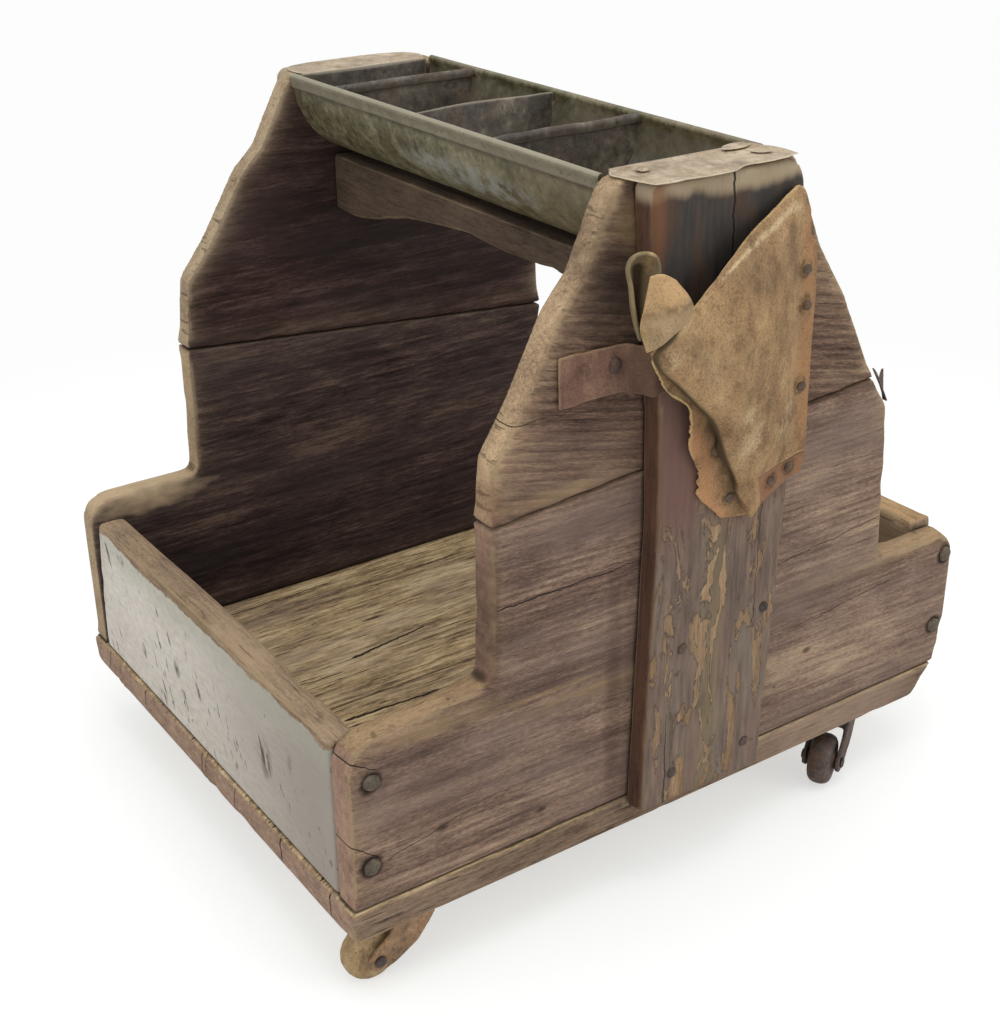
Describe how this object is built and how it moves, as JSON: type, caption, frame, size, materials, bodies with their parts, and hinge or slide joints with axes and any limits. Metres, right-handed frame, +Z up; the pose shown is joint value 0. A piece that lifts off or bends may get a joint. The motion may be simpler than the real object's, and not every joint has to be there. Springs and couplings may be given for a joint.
{
  "type": "farrier box",
  "caption": "Open wooden tool box on swivel casters, with tall side panels, a half-round tin nail tray over a carrying rail, and a leather pocket.",
  "frame": {"origin": "on the ground, under the middle of the whole object's box", "axes": "+Z up, +X along the side panels towards the plain end board, +Y across the box away from the panel with the leather pocket"},
  "size_m": [0.503, 0.467, 0.4825],
  "materials": {
    "side_wood": "weathered, dark, worn pale along the edges",
    "floor_wood": "weathered, cracked",
    "painted_end": "worn pale paint over wood",
    "batten_paint": "dark flaking paint over wood",
    "rail_wood": "rough, rust stained",
    "tin": "dull olive-grey patina",
    "rusty_tin": "brown rust",
    "iron": "rusty",
    "leather": "napped, stained",
    "strap_leather": "stiff, dark, worn"
  },
  "bodies": {
    "root": {"near_lower_board": "side_wood", "near_upper_board": "side_wood", "far_lower_board": "side_wood", "far_upper_board": "side_wood", "floor_board_near": "floor_wood", "floor_board_middle": "floor_wood", "floor_board_far": "floor_wood", "left_end_board": "painted_end", "right_end_board": "side_wood", "near_batten": "batten_paint", "far_batten": "batten_paint", "tray_trough": "tin", "tray_divider_far": "tin", "tray_divider_middle": "tin", "tray_divider_near": "tin", "tray_end_near": "rusty_tin", "tray_end_far": "rusty_tin", "tray_rail": "rail_wood", "leather_pocket": "leather", "leather_strap": "strap_leather", "edge_scrap": "iron", "caster_plate_near_left": "iron", "caster_plate_near_right": "iron", "caster_plate_far_left": "iron", "caster_plate_far_right": "iron", "end_nail_near_left_upper": "iron", "end_nail_near_left_lower": "iron", "end_nail_near_right_upper": "iron", "end_nail_near_right_lower": "iron", "end_nail_far_left_upper": "iron", "end_nail_far_left_lower": "iron", "end_nail_far_right_upper": "iron", "end_nail_far_right_lower": "iron", "near_batten_nail_1": "iron", "near_batten_nail_2": "iron", "near_batten_nail_3": "iron", "near_batten_nail_4": "iron", "far_batten_nail_1": "iron", "far_batten_nail_2": "iron", "pocket_nail_1": "iron", "pocket_nail_2": "iron", "pocket_nail_3": "iron", "pocket_nail_4": "iron", "pocket_nail_5": "iron", "pocket_nail_6": "iron", "pocket_nail_7": "iron", "strap_nail": "iron", "flap_nail": "iron"},
    "horn_near_left": {"caster_horn_near_left": "iron", "caster_axle_near_left": "iron"},
    "wheel_near_left": {"caster_wheel_near_left": "iron"},
    "horn_near_right": {"caster_horn_near_right": "iron", "caster_axle_near_right": "iron"},
    "wheel_near_right": {"caster_wheel_near_right": "iron"},
    "horn_far_left": {"caster_horn_far_left": "iron", "caster_axle_far_left": "iron"},
    "wheel_far_left": {"caster_wheel_far_left": "iron"},
    "horn_far_right": {"caster_horn_far_right": "iron", "caster_axle_far_right": "iron"},
    "wheel_far_right": {"caster_wheel_far_right": "iron"}
  },
  "joints": [
    {"name": "swivel_near_left", "type": "hinge", "parent": "root", "child": "horn_near_left", "pos_m": [-0.1995, -0.16062, 0.045], "axis": [0, 0, 1], "continuous": true},
    {"name": "roll_near_left", "type": "hinge", "parent": "horn_near_left", "child": "wheel_near_left", "pos_m": [-0.2275, -0.16062, 0.019], "axis": [0, 1, 0], "continuous": true},
    {"name": "swivel_near_right", "type": "hinge", "parent": "root", "child": "horn_near_right", "pos_m": [0.1715, -0.16062, 0.045], "axis": [0, 0, 1], "continuous": true},
    {"name": "roll_near_right", "type": "hinge", "parent": "horn_near_right", "child": "wheel_near_right", "pos_m": [0.14725, -0.17462, 0.019], "axis": [-0.5, 0.866, 0], "continuous": true},
    {"name": "swivel_far_left", "type": "hinge", "parent": "root", "child": "horn_far_left", "pos_m": [-0.1995, 0.18998, 0.045], "axis": [0, 0, 1], "continuous": true},
    {"name": "roll_far_left", "type": "hinge", "parent": "horn_far_left", "child": "wheel_far_left", "pos_m": [-0.17245, 0.18274, 0.019], "axis": [-0.2588, -0.9659, 0], "continuous": true},
    {"name": "swivel_far_right", "type": "hinge", "parent": "root", "child": "horn_far_right", "pos_m": [0.1715, 0.18998, 0.045], "axis": [0, 0, 1], "continuous": true},
    {"name": "roll_far_right", "type": "hinge", "parent": "horn_far_right", "child": "wheel_far_right", "pos_m": [0.14445, 0.18274, 0.019], "axis": [-0.2588, 0.9659, 0], "continuous": true}
  ]
}
